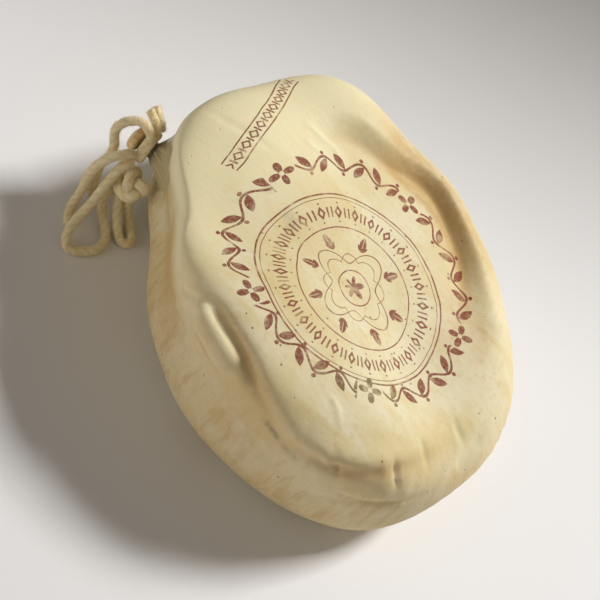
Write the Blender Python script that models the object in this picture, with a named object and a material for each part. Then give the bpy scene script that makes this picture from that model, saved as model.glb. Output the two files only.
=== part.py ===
"""Whole pit-aged cheese: an oval loaf in a tight casing, its gathered neck tied with cotton string.

Metres, +Z up. The loaf lies flat on z = 0 with the middle of its plan at the origin, and its
gathered neck points along -X. Its outer form is a function of two numbers: the angle round +Z and
a step down the side, which runs from the middle of the top face over the shoulder and the widest
ring to the middle of the base.
"""

import math

import bmesh
import bpy
import numpy as np
from mathutils import Matrix, Vector

MM = 0.001

# Loaf
PLAN_RADII = MM * np.array(
    [87.3, 79.7, 70.7, 68.1, 70.2, 74.4, 78.3, 88.5, 86.8, 86.0, 74.9, 70.0, 71.5, 75.8, 80.7, 87.8, 90.8, 90.0]
)
WIDEST_HEIGHT = 26 * MM
FACE_HEIGHT = 70 * MM
FACE_FALL = 0.05
BASE_INSET = 27 * MM
FACE_SAG_TO_NECK = 27 * MM
NECK_END_LIFT = 0.7
NECK_END_FROM = 36 * MM
NECK_END_SPREAD = 12 * MM
NECK_END_LEAN = np.array((0.0, -0.84, 1.0))
SHOULDER_POWER = 4.5
SHOULDER_SQUARER_AT_LEFT = 5.0
SHOULDER_ROUNDER_AT_BACK = 0.5
SHOULDER_ROUNDER_AT_RIGHT = 1.3
BELLY_POWER = 2.2
CORNER_RISE = 5.0 * MM
CORNER_DROP = 2.5 * MM
LOAF_SEGMENTS = 92
LOAF_RINGS = 44

# Sunken top face and the raised lip behind it
DISH_DEPTH = 3.5 * MM
DISH_DEEPER = 5.5 * MM
DISH_DEEPEST_WAY = math.radians(55)
DISH_SPREAD = 45 * MM
LIP_WIDTH = 15 * MM
LIP_WIDTH_AT_CORNER = 11 * MM
LIP_SLOPE = 8 * MM
LIP_SLOPE_AT_FRONT = 11 * MM
LIP_SLOPE_AT_NECK = 12 * MM
LIP_SLOPE_AT_RIGHT = 26 * MM

# Fold pressed into the shoulder at the front left: a groove, and a ridge outside it
GROOVE_PATH = MM * np.array(
    [
        (-32, -64, 59), (-26, -67, 61), (-20, -70, 62), (-14, -72, 63),
        (-7, -74, 63), (-1, -76, 62), (5, -78, 60), (16, -79, 57),
    ]
)
RIDGE_PATH = MM * np.array(
    [(-34, -64, 53), (-28, -68, 55), (-21, -71, 57), (-15, -74, 57), (-9, -76, 58), (-5, -77, 58)]
)
GROOVE_DEPTH = 2.6 * MM
GROOVE_HALF_WIDTH = 3.6 * MM
RIDGE_HEIGHT = 3.8 * MM
RIDGE_HALF_WIDTH = 5.6 * MM

# Raised rim along the shoulder at the front
RIM_PATH = MM * np.array(
    [
        (12, -77, 62), (19, -79, 60), (29, -78, 58), (39, -74, 59),
        (46, -70, 60), (53, -63, 61), (59, -53, 61), (66, -36, 59),
    ]
)
RIM_HEIGHT = 1.7 * MM
RIM_HALF_WIDTH = 4.5 * MM

# Slow unevenness of the whole skin
SWELL_HEIGHT = 0.55 * MM
SWELL_LENGTHS = (41 * MM, 53 * MM, 67 * MM, 88 * MM)
SWELL_SEED = 7

# Neck of the casing
NECK_ANGLE = math.radians(188.3)
NECK_HEIGHT = 37 * MM
NECK_FLARE = 10.5 * MM
NECK_RADIUS = 3.3 * MM
TIE_CENTRE = Vector((-90.4, -13.7, 36.5)) * MM
TIE_AXIS = Vector((-0.985, -0.15, -0.09)).normalized()
WAIST_HALF = 2.95 * MM
TAIL_RADIUS = 5.3 * MM
TAIL_WIDEST = 4.5 * MM
TAIL_END = 7.7 * MM
PLEATS = 12
PLEAT_DEPTH = 0.12
GAP = 0.35 * MM

# String
STRING = 3.4 * MM
TIE_STRETCH = 1.5
KNOT_CENTRE = Vector((-84.8, -23.0, 24.6)) * MM
KNOT_RADII = Vector((6.9, 6.2, 7.4)) * MM
STRING_STEP = 3.8 * MM

# The loops' routes, from the tie or the knot back to the knot or to a bare end, in millimetres
LOOP_ROUTES = {
    "string_loop_high": [
        (-90.5, -16.5, 44.6), (-92.8, -16.7, 47.0), (-95.6, -16.7, 47.9), (-98.4, -17.1, 47.4),
        (-100.8, -18.6, 45.8), (-102.5, -20.5, 43.2), (-102.9, -21.4, 39.4), (-101.4, -20.9, 34.8),
        (-99.6, -20.6, 30.8), (-98.6, -21.8, 27.6), (-98.6, -23.6, 24.6), (-98.4, -25.2, 21.2),
        (-97.4, -25.9, 17.4), (-96.4, -25.9, 13.2), (-95.5, -25.6, 9.0), (-94.4, -24.6, 5.2),
        (-92.6, -22.2, 3.2), (-91.0, -19.4, 4.6), (-90.4, -17.8, 8.4), (-90.5, -17.5, 13.0),
        (-90.2, -18.6, 17.4),
    ],
    "string_loop_wide": [
        (-91.0, -21.7, 37.2), (-92.5, -23.8, 37.9), (-94.2, -26.6, 37.4), (-95.9, -29.2, 35.8),
        (-97.2, -30.9, 33.0), (-98.3, -31.8, 29.0), (-98.6, -31.9, 23.8), (-98.3, -31.7, 17.8),
        (-97.5, -31.4, 12.0), (-97.0, -31.8, 7.0), (-96.5, -33.4, 3.6), (-95.4, -36.2, 2.1),
        (-93.6, -39.2, 1.9), (-91.6, -41.4, 1.9),
    ],
    "string_loop_low": [
        (-89.9, -21.3, 33.2), (-91.0, -24.0, 32.9), (-91.6, -25.9, 30.6), (-91.7, -27.6, 27.0),
        (-91.5, -29.4, 23.0), (-91.1, -31.7, 18.6), (-90.6, -34.5, 14.4), (-90.4, -37.8, 10.8),
        (-90.2, -41.5, 8.0), (-89.6, -45.1, 6.2), (-88.0, -48.1, 4.2), (-85.4, -49.6, 2.4),
        (-82.6, -48.4, 1.9), (-80.4, -45.8, 1.9), (-78.2, -43.0, 1.9), (-77.0, -39.4, 1.9),
        (-77.2, -35.3, 1.9), (-79.0, -32.0, 2.2), (-81.8, -29.9, 3.2), (-84.8, -28.8, 5.0),
        (-87.4, -28.0, 7.8), (-89.2, -27.2, 11.0), (-90.0, -26.4, 14.6), (-89.6, -25.4, 18.2),
    ],
    "string_loop_near": [
        (-86.0, -23.2, 16.7), (-84.9, -23.9, 13.2), (-83.2, -24.6, 10.0), (-81.0, -25.5, 7.4),
        (-78.7, -26.6, 5.0), (-76.2, -27.8, 3.0), (-73.4, -28.8, 2.0), (-70.8, -27.6, 1.9),
        (-71.2, -24.6, 1.9), (-74.2, -22.0, 2.3), (-77.1, -20.6, 4.0), (-79.7, -19.9, 7.0),
        (-81.6, -20.2, 11.0), (-82.6, -21.2, 16.2),
    ],
}
CUT_END = 2.6 * MM
CUT_END_FLARE = 1.3
CUT_END_ROUTES = {
    "string_end_left": [(-90.1, -13.2, 45.1), (-93.3, -12.1, 47.8), (-96.8, -11.5, 49.2), (-99.0, -11.2, 49.8)],
    "string_end_right": [(-89.7, -10.1, 44.3), (-92.6, -8.8, 45.8), (-95.7, -7.5, 47.0), (-98.7, -6.2, 47.8)],
}

COLLECTION = "pit_aged_cheese"


def clear_scene():
    for thing in list(bpy.data.objects):
        bpy.data.objects.remove(thing, do_unlink=True)


def material(name, colour, roughness):
    made = bpy.data.materials.new(name)
    made.use_nodes = True
    shader = made.node_tree.nodes["Principled BSDF"]
    shader.inputs["Base Color"].default_value = (*colour, 1.0)
    shader.inputs["Roughness"].default_value = roughness
    shader.inputs["Metallic"].default_value = 0.0
    return made


def smooth_step(x):
    x = np.clip(x, 0.0, 1.0)
    return x * x * (3 - 2 * x)


def bump_round(angle, at_degrees, width_degrees, power=2):
    """A bell of height 1 at one angle round the loaf, flatter on top for a higher power."""
    away = (angle - math.radians(at_degrees) + math.pi) % (2 * math.pi) - math.pi
    return np.exp(-(np.abs(away / math.radians(width_degrees)) ** power))


def ring_through(values, angle):
    """The smoothest periodic curve through values given at equal angles: their Fourier series."""
    terms = np.fft.rfft(values) / len(values)
    total = np.full(np.shape(angle), terms[0].real)
    for k in range(1, len(terms)):
        weight = 1.0 if 2 * k == len(values) else 2.0
        total = total + weight * (terms[k].real * np.cos(k * angle) - terms[k].imag * np.sin(k * angle))
    return total


def dish(x, y, radius, angle, plan):
    """How far the face sinks inside the lip: a tilted floor, with a slope up to the rim all round."""
    towards = x * math.cos(DISH_DEEPEST_WAY) + y * math.sin(DISH_DEEPEST_WAY)
    depth = DISH_DEPTH + DISH_DEEPER * np.tanh(towards / DISH_SPREAD)
    lip = LIP_WIDTH + LIP_WIDTH_AT_CORNER * bump_round(angle, 135, 30)
    slope = LIP_SLOPE + LIP_SLOPE_AT_FRONT * bump_round(angle, 270, 60)
    slope = slope + LIP_SLOPE_AT_NECK * bump_round(angle, 180, 40)
    slope = slope + LIP_SLOPE_AT_RIGHT * bump_round(angle, 350, 40)
    return depth * smooth_step((plan - lip - radius) / slope)


def near_path(points, path, half_width, power=2):
    """A bell across a broken line that fades out at both of its ends."""
    nearest = np.full(points.shape[:-1], 1.0)
    share = np.zeros(points.shape[:-1])
    for index, (start, end) in enumerate(zip(path, path[1:])):
        along = np.clip(((points - start) @ (end - start)) / ((end - start) @ (end - start)), 0, 1)
        gap = np.linalg.norm(points - start - along[..., None] * (end - start), axis=-1)
        share = np.where(gap < nearest, (index + along) / (len(path) - 1), share)
        nearest = np.minimum(nearest, gap)
    ends = smooth_step(share / 0.25) * smooth_step((1 - share) / 0.35)
    return np.exp(-((nearest / half_width) ** power)) * (0.2 + 0.8 * ends)


def fold(points):
    """Height of the pressed fold, a groove with a ridge outside it, and of the rim along the front shoulder."""
    ridge = RIDGE_HEIGHT * near_path(points, RIDGE_PATH, RIDGE_HALF_WIDTH, 4)
    ridge = ridge + RIM_HEIGHT * near_path(points, RIM_PATH, RIM_HALF_WIDTH)
    return ridge - GROOVE_DEPTH * near_path(points, GROOVE_PATH, GROOVE_HALF_WIDTH)


def swell(points):
    """Slow unevenness: the sum of a few plane waves with seeded directions."""
    draw = np.random.default_rng(SWELL_SEED)
    total = np.zeros(points.shape[:-1])
    for length in SWELL_LENGTHS:
        way = draw.normal(size=3)
        way /= np.linalg.norm(way)
        total += np.sin(points @ way * 2 * math.pi / length + draw.uniform(0, 2 * math.pi))
    return SWELL_HEIGHT * total


def loaf(angle, step):
    """Points of the loaf's skin. Step 0 is the middle of the face, 1 the widest ring, 2 the middle of the base."""
    plan = ring_through(PLAN_RADII, angle)
    power = SHOULDER_POWER + SHOULDER_SQUARER_AT_LEFT * bump_round(angle, 234, 70, 4)
    power = power - SHOULDER_ROUNDER_AT_BACK * bump_round(angle, 165, 25)
    power = power - SHOULDER_ROUNDER_AT_RIGHT * bump_round(angle, 345, 35)
    over = np.clip(step, 0, 1) * math.pi / 2
    upper_radius = plan * np.sin(over) ** (2 / power)
    x, y = upper_radius * np.cos(angle), upper_radius * np.sin(angle)
    sag = FACE_SAG_TO_NECK * bump_round(angle, 202, 38) * smooth_step((upper_radius / plan - 0.05) / 1.15)
    face = FACE_HEIGHT - FACE_FALL * x - sag
    upper_height = WIDEST_HEIGHT + (face - WIDEST_HEIGHT) * np.clip(np.cos(over), 0, 1) ** (2 / power)
    upper_height = upper_height - dish(x, y, upper_radius, angle, plan)
    corner = CORNER_RISE * bump_round(angle, 133, 19) - CORNER_DROP * bump_round(angle, 104, 15)
    outer = smooth_step((upper_radius / plan - 0.35) / 0.45)
    outer = outer * smooth_step((upper_height - WIDEST_HEIGHT) / (20 * MM))
    upper_height = upper_height + corner * outer
    under = np.clip((step - 1) * 2, 0, 1) * math.pi / 2
    foot = plan - BASE_INSET
    belly_radius = foot + BASE_INSET * np.clip(np.cos(under), 0, 1) ** (2 / BELLY_POWER)
    belly_height = WIDEST_HEIGHT * (1 - np.sin(under) ** (2 / BELLY_POWER))
    base_radius = foot * np.clip(2 * (2 - step), 0, 1)
    radius = np.where(step <= 1, upper_radius, np.where(step <= 1.5, belly_radius, base_radius))
    height = np.where(step <= 1, upper_height, np.where(step <= 1.5, belly_height, 0.0))
    points = np.stack([radius * np.cos(angle), radius * np.sin(angle), height], axis=-1)
    outward = np.stack([np.cos(angle) * np.sin(over), np.sin(angle) * np.sin(over), np.cos(over)], axis=-1)
    free = smooth_step(height / (0.6 * WIDEST_HEIGHT))
    rise = (fold(points) + swell(points)) * free
    points = points + outward * rise[..., None]
    lift = NECK_END_LIFT * sag * smooth_step((points[..., 2] - NECK_END_FROM) / NECK_END_SPREAD)
    return points + lift[..., None] * NECK_END_LEAN


def even_steps(count):
    """Steps from the middle of the face to the middle of the base at equal distances along the skin."""
    fine = np.linspace(0, 2, 2001)
    line = loaf(np.full(fine.shape, 0.3), fine)
    run = np.concatenate([[0], np.cumsum(np.linalg.norm(np.diff(line, axis=0), axis=1))])
    return np.interp(np.linspace(0, run[-1], count), run, fine)


def moved_sphere(name, segments, rings, place):
    """A UV sphere whose points go where place(angle round its axis, share of the way from pole to pole) says."""
    mesh = bpy.data.meshes.new(name)
    form = bmesh.new()
    bmesh.ops.create_uvsphere(form, u_segments=segments, v_segments=rings, radius=1.0)
    round_axis = np.array([math.atan2(vert.co.y, vert.co.x) for vert in form.verts])
    share = np.array([math.acos(max(-1.0, min(1.0, vert.co.z))) / math.pi for vert in form.verts])
    for vert, point in zip(form.verts, place(round_axis, share)):
        vert.co = Vector(point)
    bmesh.ops.recalc_face_normals(form, faces=form.faces)
    form.to_mesh(mesh)
    form.free()
    mesh.shade_smooth()
    return mesh


def add_object(collection, name, data, finish):
    made = bpy.data.objects.new(name, data)
    collection.objects.link(made)
    data.materials.append(finish)
    return made


def make_loaf(collection, finish):
    steps = even_steps(LOAF_RINGS + 1)

    def place(angle, share):
        return loaf(angle, np.interp(share * LOAF_RINGS, np.arange(LOAF_RINGS + 1), steps))

    return add_object(collection, "cheese", moved_sphere("cheese", LOAF_SEGMENTS, LOAF_RINGS, place), finish)


def on_loaf_near_neck(across, up, lift):
    """Points at these distances round and above the neck's root, lifted off the skin."""
    steps = np.linspace(0.3, 1.45, 400)
    angle = NECK_ANGLE + across / ring_through(PLAN_RADII, NECK_ANGLE)
    side = loaf(np.full(steps.shape, NECK_ANGLE), steps)
    step = np.interp(NECK_HEIGHT + up, side[::-1, 2], steps[::-1])
    small = 1e-4
    point = loaf(angle, step)
    normal = np.cross(loaf(angle, step + small) - point, loaf(angle + small, step) - point)
    normal /= np.linalg.norm(normal, axis=-1, keepdims=True)
    return point + normal * np.reshape(lift, (-1, 1))


def pleat(angle):
    """The gathers round the neck: a wave with rounded ridges and narrow valleys."""
    return 1 + PLEAT_DEPTH * (1 - 2 * np.abs(np.sin(angle * PLEATS / 2)) ** 0.8)


def make_neck(collection, finish):
    """The casing's gathered end: a flare off the loaf, a waist under the tie and a rounded tail."""
    side = TIE_AXIS.cross(Vector((0, 0, 1))).normalized()
    axes = np.array([side, side.cross(TIE_AXIS)])

    def ring(angle, along, radius):
        middle = np.array(TIE_CENTRE) + np.outer(along, np.array(TIE_AXIS))
        across = radius * pleat(angle) * np.stack([-np.cos(angle), np.sin(angle)])
        return middle + across.T @ axes

    def on_skin(angle, reach, lift):
        return on_loaf_near_neck(reach * np.cos(angle), reach * np.sin(angle), lift)

    def place(angle, share):
        everywhere = np.ones(angle.shape)
        hidden = on_skin(angle, NECK_FLARE * np.clip(share / 0.2, 0, 1), GAP * everywhere)
        t = np.clip((share - 0.2) / 0.3, 0, 1)[:, None]
        foot = on_skin(angle, NECK_FLARE * everywhere, GAP * everywhere)
        bend = on_skin(angle, 0.42 * NECK_FLARE * pleat(angle), 2.4 * MM * everywhere)
        neck = ring(angle, -WAIST_HALF * everywhere, NECK_RADIUS)
        flare = (1 - t) ** 2 * foot + 2 * t * (1 - t) * bend + t**2 * neck
        waist = ring(angle, WAIST_HALF * (2 * np.clip((share - 0.5) / 0.1, 0, 1) - 1), NECK_RADIUS)
        swelling = np.clip((share - 0.6) / 0.15, 0, 1)
        closing = np.clip((share - 0.75) / 0.25, 0, 1) * math.pi / 2
        radius = NECK_RADIUS + (TAIL_RADIUS - NECK_RADIUS) * np.sin(swelling * math.pi / 2)
        along = WAIST_HALF + (TAIL_WIDEST - WAIST_HALF) * swelling**2 + (TAIL_END - TAIL_WIDEST) * np.sin(closing)
        tail = ring(angle, along, radius * np.cos(closing))
        choice = np.digitize(share, [0.2 + 1e-6, 0.5 + 1e-6, 0.6 + 1e-6])
        return np.choose(choice[:, None], [hidden, flare, waist, tail])

    return add_object(collection, "casing_neck", moved_sphere("casing_neck", 48, 20, place), finish)


def make_tie(collection, finish):
    """The string pulled round the waist, as one ring with a flattened section."""
    inner = NECK_RADIUS * (1 + PLEAT_DEPTH) + GAP
    bpy.ops.mesh.primitive_torus_add(
        major_radius=inner + STRING / 2, minor_radius=STRING / 2, major_segments=28, minor_segments=10
    )
    tie = bpy.context.active_object
    tie.name = tie.data.name = "string_tie"
    for other in list(tie.users_collection):
        other.objects.unlink(tie)
    collection.objects.link(tie)
    turn = Vector((0, 0, 1)).rotation_difference(TIE_AXIS)
    tie.data.transform(Matrix.Diagonal((1, 1, TIE_STRETCH, 1)))
    tie.data.transform(Matrix.Translation(TIE_CENTRE) @ turn.to_matrix().to_4x4())
    tie.data.shade_smooth()
    tie.data.materials.append(finish)
    return tie


def make_knot(collection, finish):
    """The lumpy knot: a ball with three turns of string standing out round it."""

    def place(angle, share):
        polar = share * math.pi
        lump = 1 + 0.06 * np.cos(3 * angle + 4 * polar) * np.sin(polar) ** 2 - 0.06
        way = np.stack([np.sin(polar) * np.cos(angle), np.sin(polar) * np.sin(angle), np.cos(polar)], axis=-1)
        return np.array(KNOT_CENTRE) + way * np.array(KNOT_RADII) * lump[:, None]

    return add_object(collection, "string_knot", moved_sphere("string_knot", 24, 14, place), finish)


def through(route, step):
    """Points at equal steps on the smooth curve (Catmull-Rom) through a route given in millimetres."""
    knots = np.array(route) * MM
    ends = np.vstack([2 * knots[0] - knots[1], knots, 2 * knots[-1] - knots[-2]])
    t = np.linspace(0, 1, 24, endpoint=False)[:, None]
    pieces = []
    for a, b, c, d in zip(ends, ends[1:], ends[2:], ends[3:]):
        square = (2 * a - 5 * b + 4 * c - d) * t**2
        cube = (3 * b - a - 3 * c + d) * t**3
        pieces.append(0.5 * (2 * b + (c - a) * t + square + cube))
    line = np.vstack([*pieces, knots[-1:]])
    run = np.concatenate([[0], np.cumsum(np.linalg.norm(np.diff(line, axis=0), axis=1))])
    count = max(3, round(run[-1] / step) + 1)
    at = np.linspace(0, run[-1], count)
    return np.stack([np.interp(at, run, line[:, axis]) for axis in range(3)], axis=-1)


def make_string(collection, name, route, finish, thickness=STRING, flare=1.0):
    """A tube of string along a route, its far end spread by flare."""
    points = through(route, STRING_STEP)
    curve = bpy.data.curves.new(name, "CURVE")
    curve.dimensions = "3D"
    curve.bevel_depth = thickness / 2
    curve.bevel_resolution = 2
    curve.use_fill_caps = True
    spline = curve.splines.new("POLY")
    spline.points.add(len(points) - 1)
    for index, (target, point) in enumerate(zip(spline.points, points)):
        target.co = (*point, 1.0)
        target.radius = 1 + (flare - 1) * index / (len(points) - 1)
    spline.use_smooth = True
    return add_object(collection, name, curve, finish)


def main():
    clear_scene()
    collection = bpy.data.collections.new(COLLECTION)
    bpy.context.scene.collection.children.link(collection)
    rind = material("waxy_casing", (0.80, 0.71, 0.47), 0.42)
    film = material("gathered_film", (0.36, 0.32, 0.22), 0.5)
    cotton = material("cotton_string", (0.66, 0.55, 0.36), 0.9)
    make_loaf(collection, rind)
    make_neck(collection, film)
    make_tie(collection, cotton)
    make_knot(collection, cotton)
    for name, route in LOOP_ROUTES.items():
        make_string(collection, name, route, cotton)
    for name, route in CUT_END_ROUTES.items():
        make_string(collection, name, route, cotton, CUT_END, CUT_END_FLARE)


main()
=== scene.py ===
"""Looks of a whole pit-aged cheese: an oval loaf in a tight waxy casing, stamped in brown ink, with its
gathered neck tied in cotton string.

Metres, +Z up, in the same frame as the solids. Each piece is a surface given by formulas: rings of
points from one pole to another, whose places are functions of the angle round and the way along.
"""

import math

import bpy
import numpy as np
from bpy.props import FloatProperty, FloatVectorProperty, IntProperty, PointerProperty
from bpy.types import Operator, Panel, PropertyGroup
from mathutils import Matrix, Vector


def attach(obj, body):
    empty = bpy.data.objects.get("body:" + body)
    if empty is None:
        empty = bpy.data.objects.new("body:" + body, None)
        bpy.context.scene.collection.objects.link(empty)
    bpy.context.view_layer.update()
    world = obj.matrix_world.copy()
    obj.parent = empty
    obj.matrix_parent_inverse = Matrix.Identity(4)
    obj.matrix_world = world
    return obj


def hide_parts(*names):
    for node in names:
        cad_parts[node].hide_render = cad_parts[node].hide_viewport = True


bl_info = {
    "name": "Pit-aged cheese",
    "version": (1, 0, 0),
    "blender": (4, 5, 0),
    "location": "View3D > Sidebar > Cheese",
    "description": "Builds a whole cheese in a stamped casing tied with string, and a pale studio round it",
    "category": "Add Mesh",
}

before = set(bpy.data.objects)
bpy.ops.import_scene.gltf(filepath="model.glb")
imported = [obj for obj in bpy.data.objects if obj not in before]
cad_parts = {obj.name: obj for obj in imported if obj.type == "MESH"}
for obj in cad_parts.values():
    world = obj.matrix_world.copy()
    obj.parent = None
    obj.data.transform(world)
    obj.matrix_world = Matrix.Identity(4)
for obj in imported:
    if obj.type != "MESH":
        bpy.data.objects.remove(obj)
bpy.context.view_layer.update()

MM = 0.001
IN_MM = 1000.0
TAU = 2 * math.pi

# Loaf, as in the solid
PLAN_RADII = MM * np.array([
    87.3, 79.7, 70.7, 68.1, 70.2, 74.4, 78.3, 88.5, 86.8, 86.0, 74.9, 70.0, 71.5, 75.8, 80.7, 87.8, 90.8, 90.0
])
WIDEST_HEIGHT = 26 * MM
FACE_HEIGHT = 70 * MM
FACE_FALL = 0.05
BASE_INSET = 27 * MM
FACE_SAG_TO_NECK = 27 * MM
SWELL_LENGTHS = (41, 53, 67, 88)
SWELL_HEIGHT = 1.1 * MM
ROUNDING_BELOW = 2 / 2.2
DISH_TILT = 5.5 * MM
DISH_TILT_LENGTH = 45 * MM
LIP = 15 * MM

# The pressed fold and the rim along the front: height and half width, and the path that each follows
GROOVE = (2.6 * MM, 3.6 * MM)
RIDGE = (3.8 * MM, 5.6 * MM)
RIM = (1.7 * MM, 4.5 * MM)
GROOVE_PATH = MM * np.array([
    (-32, -64, 59), (-26, -67, 61), (-20, -70, 62), (-14, -72, 63),
    (-7, -74, 63), (-1, -76, 62), (5, -78, 60), (16, -79, 57),
])
RIDGE_PATH = MM * np.array(
    [(-34, -64, 53), (-28, -68, 55), (-21, -71, 57), (-15, -74, 57), (-9, -76, 58), (-5, -77, 58)]
)
RIM_PATH = MM * np.array([
    (12, -77, 62), (19, -79, 60), (29, -78, 58), (39, -74, 59),
    (46, -70, 60), (53, -63, 61), (59, -53, 61), (66, -36, 59),
])

# The neck end is raised along the camera's line of sight, by a share of the sag
NECK_END_LEAN = np.array((0.0, -0.84, 1.0))
NECK_END_LIFT = 0.7
LIFT_FROM = 36 * MM
LIFT_SPREAD = 12 * MM

# Neck and string, as in the solid
NECK_ANGLE = math.radians(188.3)
NECK_HEIGHT = 37 * MM
TIE_CENTRE = np.array((-90.4, -13.7, 36.5)) * MM
TIE_AXIS = np.array(Vector((-0.985, -0.15, -0.09)).normalized())
TIE_SIDE = np.cross(TIE_AXIS, (0, 0, 1)) / np.linalg.norm(np.cross(TIE_AXIS, (0, 0, 1)))
TIE_UP = np.cross(TIE_SIDE, TIE_AXIS)
WAIST_HALF = 2.95 * MM
WAIST_RADIUS = 3.3 * MM
FLARE_RADIUS = 15 * MM
FILM_SUNK = 0.9 * MM
WINDING_RADIUS = 5.75 * MM
KNOT_CENTRE = np.array((-84.8, -23.0, 24.6)) * MM
KNOT_RADII = np.array((6.9, 6.2, 7.4)) * MM
ROUTE_STEP = 0.5 * MM
STRING_SIDES = 24

# The loops' routes, from the tie or the knot back to the knot or to a bare end, in millimetres
LOOP_ROUTES = {
    "string_loop_high": [
        (-90.5, -16.5, 44.6), (-92.8, -16.7, 47.0), (-95.6, -16.7, 47.9), (-98.4, -17.1, 47.4),
        (-100.8, -18.6, 45.8), (-102.5, -20.5, 43.2), (-102.9, -21.4, 39.4), (-101.4, -20.9, 34.8),
        (-99.6, -20.6, 30.8), (-98.6, -21.8, 27.6), (-98.6, -23.6, 24.6), (-98.4, -25.2, 21.2),
        (-97.4, -25.9, 17.4), (-96.4, -25.9, 13.2), (-95.5, -25.6, 9.0), (-94.4, -24.6, 5.2),
        (-92.6, -22.2, 3.2), (-91.0, -19.4, 4.6), (-90.4, -17.8, 8.4), (-90.5, -17.5, 13.0),
        (-90.2, -18.6, 17.4),
    ],
    "string_loop_wide": [
        (-91.0, -21.7, 37.2), (-92.5, -23.8, 37.9), (-94.2, -26.6, 37.4), (-95.9, -29.2, 35.8),
        (-97.2, -30.9, 33.0), (-98.3, -31.8, 29.0), (-98.6, -31.9, 23.8), (-98.3, -31.7, 17.8),
        (-97.5, -31.4, 12.0), (-97.0, -31.8, 7.0), (-96.5, -33.4, 3.6), (-95.4, -36.2, 2.1),
        (-93.6, -39.2, 1.9), (-91.6, -41.4, 1.9),
    ],
    "string_loop_low": [
        (-89.9, -21.3, 33.2), (-91.0, -24.0, 32.9), (-91.6, -25.9, 30.6), (-91.7, -27.6, 27.0),
        (-91.5, -29.4, 23.0), (-91.1, -31.7, 18.6), (-90.6, -34.5, 14.4), (-90.4, -37.8, 10.8),
        (-90.2, -41.5, 8.0), (-89.6, -45.1, 6.2), (-88.0, -48.1, 4.2), (-85.4, -49.6, 2.4),
        (-82.6, -48.4, 1.9), (-80.4, -45.8, 1.9), (-78.2, -43.0, 1.9), (-77.0, -39.4, 1.9),
        (-77.2, -35.3, 1.9), (-79.0, -32.0, 2.2), (-81.8, -29.9, 3.2), (-84.8, -28.8, 5.0),
        (-87.4, -28.0, 7.8), (-89.2, -27.2, 11.0), (-90.0, -26.4, 14.6), (-89.6, -25.4, 18.2),
    ],
    "string_loop_near": [
        (-86.0, -23.2, 16.7), (-84.9, -23.9, 13.2), (-83.2, -24.6, 10.0), (-81.0, -25.5, 7.4),
        (-78.7, -26.6, 5.0), (-76.2, -27.8, 3.0), (-73.4, -28.8, 2.0), (-70.8, -27.6, 1.9),
        (-71.2, -24.6, 1.9), (-74.2, -22.0, 2.3), (-77.1, -20.6, 4.0), (-79.7, -19.9, 7.0),
        (-81.6, -20.2, 11.0), (-82.6, -21.2, 16.2),
    ],
}
CUT_END_ROUTES = {
    "string_end_left": [
        (-90.1, -13.2, 45.1), (-93.3, -12.1, 47.8), (-96.8, -11.5, 49.2), (-99.0, -11.2, 49.8),
    ],
    "string_end_right": [
        (-89.7, -10.1, 44.3), (-92.6, -8.8, 45.8), (-95.7, -7.5, 47.0), (-98.7, -6.2, 47.8),
    ],
}

# Creases (negative) and ridges (positive) of the casing: points in millimetres, half width and height
CREASES = [
    ([(-42, -59, 47), (-39, -61, 49), (-36, -63, 53), (-31, -65, 58), (-28, -63, 61)], 1.3, -1.1),
    ([(-31, -64, 59), (-22, -69, 62), (-14, -72, 63), (-7, -74, 63), (4, -78, 60), (16, -79, 57)], 1.6, -0.7),
    ([(-32, -65, 56), (-27, -68, 57), (-22, -70, 58)], 2.4, 0.7),
    ([(-18, -72, 59), (-12, -74, 59), (-6, -76, 58)], 2.6, 0.8),
    (
        [(21, -80, 54), (32, -78, 53), (43, -75, 54), (49, -71, 56), (56, -64, 57), (62, -55, 58),
         (68, -40, 57)], 2.6, -0.9,
    ),
    ([(39, -73, 62), (43, -73, 59), (47, -74, 54), (50, -75, 49)], 0.9, -1.1),
    ([(36, -75, 61), (40, -76, 58), (44, -77, 54)], 1.4, 0.5),
    ([(56, -56, 62), (60, -57, 60), (64, -58, 56), (68, -58, 51)], 1.0, -1.1),
    ([(53, -60, 62), (57, -61, 60), (61, -62, 56)], 1.4, 0.5),
    ([(50, -11, 59), (59, -15, 57), (65, -25, 58)], 1.3, -0.5),
    ([(25, -62, 68), (31, -64, 67), (37, -68, 65)], 1.1, 0.4),
    ([(50, -72, 43), (58, -70, 42), (66, -63, 42), (74, -53, 43)], 1.8, -0.8),
    ([(61, -41, 61), (65, -42, 59), (70, -43, 55)], 1.4, -0.8),
    ([(65, -20, 58), (69, -22, 57), (75, -22, 54)], 1.4, -0.7),
    ([(37, -79, 26), (44, -77, 32), (51, -74, 37), (65, -63, 41)], 2.4, -0.8),
    ([(65, -63, 41), (70, -58, 42), (75, -51, 43), (78, -43, 45)], 2.6, -0.8),
    ([(79, -30, 49), (79, -21, 52), (78, -11, 55)], 2.6, -0.9),
    ([(-74, -21, 41), (-68, -27, 42), (-63, -31, 44), (-58, -34, 47)], 1.8, -0.5),
    ([(-66, -38, 30), (-55, -48, 30), (-44, -58, 22)], 3.4, 0.6),
    ([(-54, 24, 69), (-47, 25, 68), (-40, 26, 67), (-34, 25, 67)], 1.1, 0.45),
    ([(-50, 18, 68), (-42, 19, 67), (-33, 18, 66)], 1.2, 0.3),
    ([(-83, 4, 55), (-72, 3, 61), (-60, 4, 64), (-54, 4, 65)], 1.2, -0.4),
]

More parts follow.
